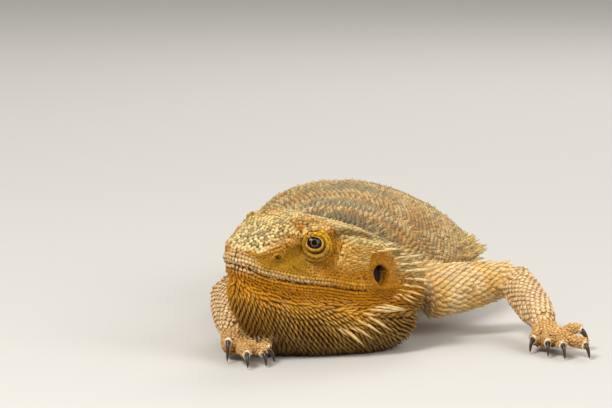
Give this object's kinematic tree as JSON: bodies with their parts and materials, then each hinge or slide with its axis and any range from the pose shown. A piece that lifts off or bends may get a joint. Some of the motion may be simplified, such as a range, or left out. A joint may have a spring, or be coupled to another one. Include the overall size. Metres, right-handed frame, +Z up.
{
  "type": "bearded dragon lizard figure",
  "caption": "Life-size central bearded dragon lying on its belly, head raised and turned to its right, spiny beard on the floor, tail trailing behind.",
  "frame": {"origin": "on the floor, under the middle of the belly, on the flat the trunk rests on", "axes": "+Z up, the head towards -Y and the tail towards +Y, +X the animal's left side"},
  "size_m": [0.1162, 0.4075, 0.0407],
  "materials": {
    "head_scales": "golden yellow keeled scales, semi-matte",
    "beard_spines": "dark golden spines with pale tips over nearly black skin",
    "back_scales": "tan keeled scales with grey-blue specks, matte",
    "limb_scales": "pinkish tan to orange keeled scales in rows, matte",
    "tail_scales": "tan keeled scales in rings with faint darker bands, matte",
    "claw": "dark brown horn with an amber edge, satin gloss",
    "eye": "wet golden iris with a round black pupil"
  },
  "bodies": {
    "root": {"head": "head_scales", "beard": "beard_spines", "neck": "back_scales", "chest": "back_scales", "belly": "back_scales", "tail_1": "tail_scales", "tail_2": "tail_scales", "tail_3": "tail_scales", "tail_4": "tail_scales", "upper_arm_left": "limb_scales", "forearm_left": "limb_scales", "hand_left": "limb_scales", "thigh_left": "limb_scales", "shank_left": "limb_scales", "foot_left": "limb_scales", "claw_hand_left_1": "claw", "claw_hand_left_2": "claw", "claw_hand_left_3": "claw", "claw_hand_left_4": "claw", "claw_hand_left_5": "claw", "claw_foot_left_1": "claw", "claw_foot_left_2": "claw", "claw_foot_left_3": "claw", "claw_foot_left_4": "claw", "claw_foot_left_5": "claw", "eye_left": "eye", "upper_arm_right": "limb_scales", "forearm_right": "limb_scales", "hand_right": "limb_scales", "thigh_right": "limb_scales", "shank_right": "limb_scales", "foot_right": "limb_scales", "claw_hand_right_1": "claw", "claw_hand_right_2": "claw", "claw_hand_right_3": "claw", "claw_hand_right_4": "claw", "claw_hand_right_5": "claw", "claw_foot_right_1": "claw", "claw_foot_right_2": "claw", "claw_foot_right_3": "claw", "claw_foot_right_4": "claw", "claw_foot_right_5": "claw", "eye_right": "eye"}
  },
  "joints": []
}
